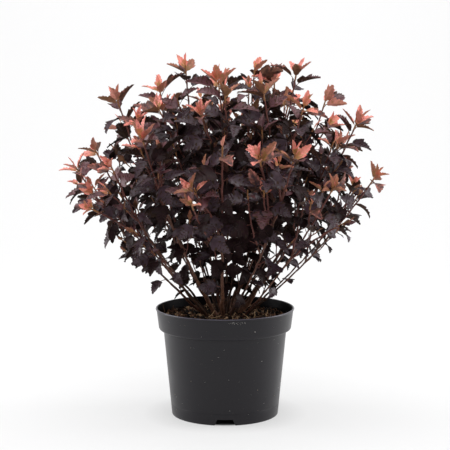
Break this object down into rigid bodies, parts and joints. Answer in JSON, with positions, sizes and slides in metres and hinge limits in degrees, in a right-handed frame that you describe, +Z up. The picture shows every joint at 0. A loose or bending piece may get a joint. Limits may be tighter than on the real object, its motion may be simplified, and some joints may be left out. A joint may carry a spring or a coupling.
{
  "type": "potted ninebark shrub",
  "caption": "Compact multi-stem ninebark shrub with dark purple lobed leaves and salmon-pink young shoot tips, standing in a round black nursery pot filled with potting mix.",
  "frame": {"origin": "centre of the pot's flat underside, at the level the pot stands on", "axes": "+Z up, +Y towards the back of the plant, +X to the right seen from the front"},
  "size_m": [0.5483, 0.5107, 0.599],
  "materials": {
    "pot_plastic": "charcoal black moulded plastic with a soft satin sheen",
    "potting_mix": "loose moist potting mix with bark chips and pale grains",
    "cane_bark": "thin matte brown bark",
    "leaves_and_shoots": "dark purple leaves with a faint blue-grey sheen, salmon pink at the tips"
  },
  "bodies": {
    "root": {"pot": "pot_plastic", "soil": "potting_mix", "cane_01": "cane_bark", "cane_02": "cane_bark", "cane_03": "cane_bark", "cane_04": "cane_bark", "cane_05": "cane_bark", "cane_06": "cane_bark", "cane_07": "cane_bark", "cane_08": "cane_bark", "cane_09": "cane_bark", "cane_10": "cane_bark", "cane_11": "cane_bark", "cane_12": "cane_bark", "cane_13": "cane_bark", "cane_14": "cane_bark", "cane_15": "cane_bark", "cane_16": "cane_bark", "cane_17": "cane_bark", "cane_18": "cane_bark", "cane_19": "cane_bark", "cane_20": "cane_bark", "cane_21": "cane_bark", "cane_22": "cane_bark", "cane_23": "cane_bark", "cane_24": "cane_bark", "cane_25": "cane_bark", "cane_26": "cane_bark", "foliage_01": "leaves_and_shoots", "foliage_02": "leaves_and_shoots", "foliage_03": "leaves_and_shoots", "foliage_04": "leaves_and_shoots", "foliage_05": "leaves_and_shoots", "foliage_06": "leaves_and_shoots", "foliage_07": "leaves_and_shoots", "foliage_08": "leaves_and_shoots", "foliage_09": "leaves_and_shoots", "foliage_10": "leaves_and_shoots", "foliage_11": "leaves_and_shoots", "foliage_12": "leaves_and_shoots", "foliage_13": "leaves_and_shoots", "foliage_14": "leaves_and_shoots", "foliage_15": "leaves_and_shoots", "foliage_16": "leaves_and_shoots", "foliage_17": "leaves_and_shoots", "foliage_18": "leaves_and_shoots", "foliage_19": "leaves_and_shoots", "foliage_20": "leaves_and_shoots", "foliage_21": "leaves_and_shoots", "foliage_22": "leaves_and_shoots", "foliage_23": "leaves_and_shoots", "foliage_24": "leaves_and_shoots", "foliage_25": "leaves_and_shoots", "foliage_26": "leaves_and_shoots"}
  },
  "joints": []
}
